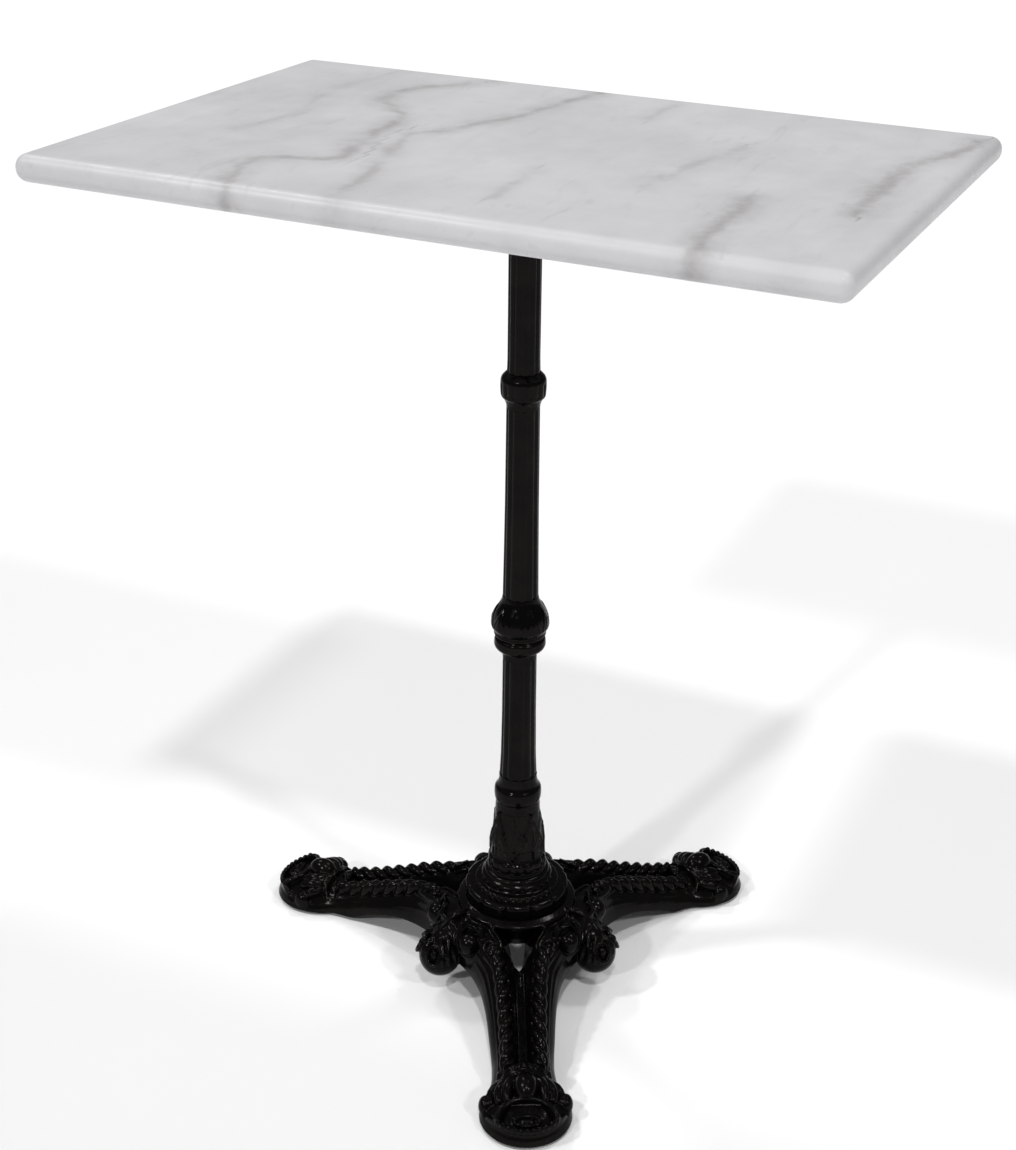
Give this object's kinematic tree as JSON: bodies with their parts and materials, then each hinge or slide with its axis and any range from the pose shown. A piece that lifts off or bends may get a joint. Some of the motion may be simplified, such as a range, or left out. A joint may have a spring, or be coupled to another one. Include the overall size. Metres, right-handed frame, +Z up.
{
  "type": "bistro table",
  "caption": "Rectangular marble-topped bistro table on a slim turned column with a cast three-legged foot, rope-moulded legs and levelling glides.",
  "frame": {"origin": "on the floor, under the axis of the column, which is the centre of the top", "axes": "+Z up along the column, +X along the long side of the top, +Y along its short side; one leg points to -Y and slightly +X"},
  "size_m": [0.6, 0.4309, 0.72],
  "materials": {
    "marble": "polished",
    "enamel": "gloss black enamel",
    "steel": "zinc plated",
    "brass": "machined",
    "rubber": "matt",
    "nylon": "matt"
  },
  "bodies": {
    "table": {"marble_top": "marble", "threaded_insert_right_back": "brass", "rubber_buffer_right_back": "rubber", "top_screw_right_back": "steel", "threaded_insert_left_back": "brass", "rubber_buffer_left_back": "rubber", "top_screw_left_back": "steel", "threaded_insert_left_front": "brass", "rubber_buffer_left_front": "rubber", "top_screw_left_front": "steel", "threaded_insert_right_front": "brass", "rubber_buffer_right_front": "rubber", "top_screw_right_front": "steel", "top_bracket": "enamel", "upper_shaft": "enamel", "upper_collar": "enamel", "middle_shaft": "enamel", "ball_knop": "enamel", "lower_shaft": "enamel", "lower_ring": "enamel", "leaf_pedestal": "enamel", "hub_flange": "enamel", "tripod_base": "enamel", "tie_rod": "steel", "upper_washer": "steel", "upper_nut": "steel", "lower_washer": "steel", "lower_nut": "steel"},
    "pad_front": {"glide_pad_front": "nylon"},
    "stud_front": {"glide_stud_front": "steel"},
    "pad_right": {"glide_pad_right": "nylon"},
    "stud_right": {"glide_stud_right": "steel"},
    "pad_left": {"glide_pad_left": "nylon"},
    "stud_left": {"glide_stud_left": "steel"}
  },
  "joints": [
    {"name": "glide_lift_front", "type": "slide", "parent": "table", "child": "pad_front", "axis": [0, 0, -1], "range_m": [0, 0.006]},
    {"name": "glide_turn_front", "type": "hinge", "parent": "pad_front", "child": "stud_front", "pos_m": [0.10285, -0.19674, 0.003], "axis": [0, 0, -1], "range_deg": [0, 1730]},
    {"name": "glide_lift_right", "type": "slide", "parent": "table", "child": "pad_right", "axis": [0, 0, -1], "range_m": [0, 0.006]},
    {"name": "glide_turn_right", "type": "hinge", "parent": "pad_right", "child": "stud_right", "pos_m": [0.11895, 0.18744, 0.003], "axis": [0, 0, -1], "range_deg": [0, 1730]},
    {"name": "glide_lift_left", "type": "slide", "parent": "table", "child": "pad_left", "axis": [0, 0, -1], "range_m": [0, 0.006]},
    {"name": "glide_turn_left", "type": "hinge", "parent": "pad_left", "child": "stud_left", "pos_m": [-0.22181, 0.0093, 0.003], "axis": [0, 0, -1], "range_deg": [0, 1730]}
  ],
  "couplings": [
    {"joint": "glide_turn_front", "follows": "glide_lift_front", "rad_per_m": 5026.5},
    {"joint": "glide_turn_right", "follows": "glide_lift_right", "rad_per_m": 5026.5},
    {"joint": "glide_turn_left", "follows": "glide_lift_left", "rad_per_m": 5026.5}
  ]
}
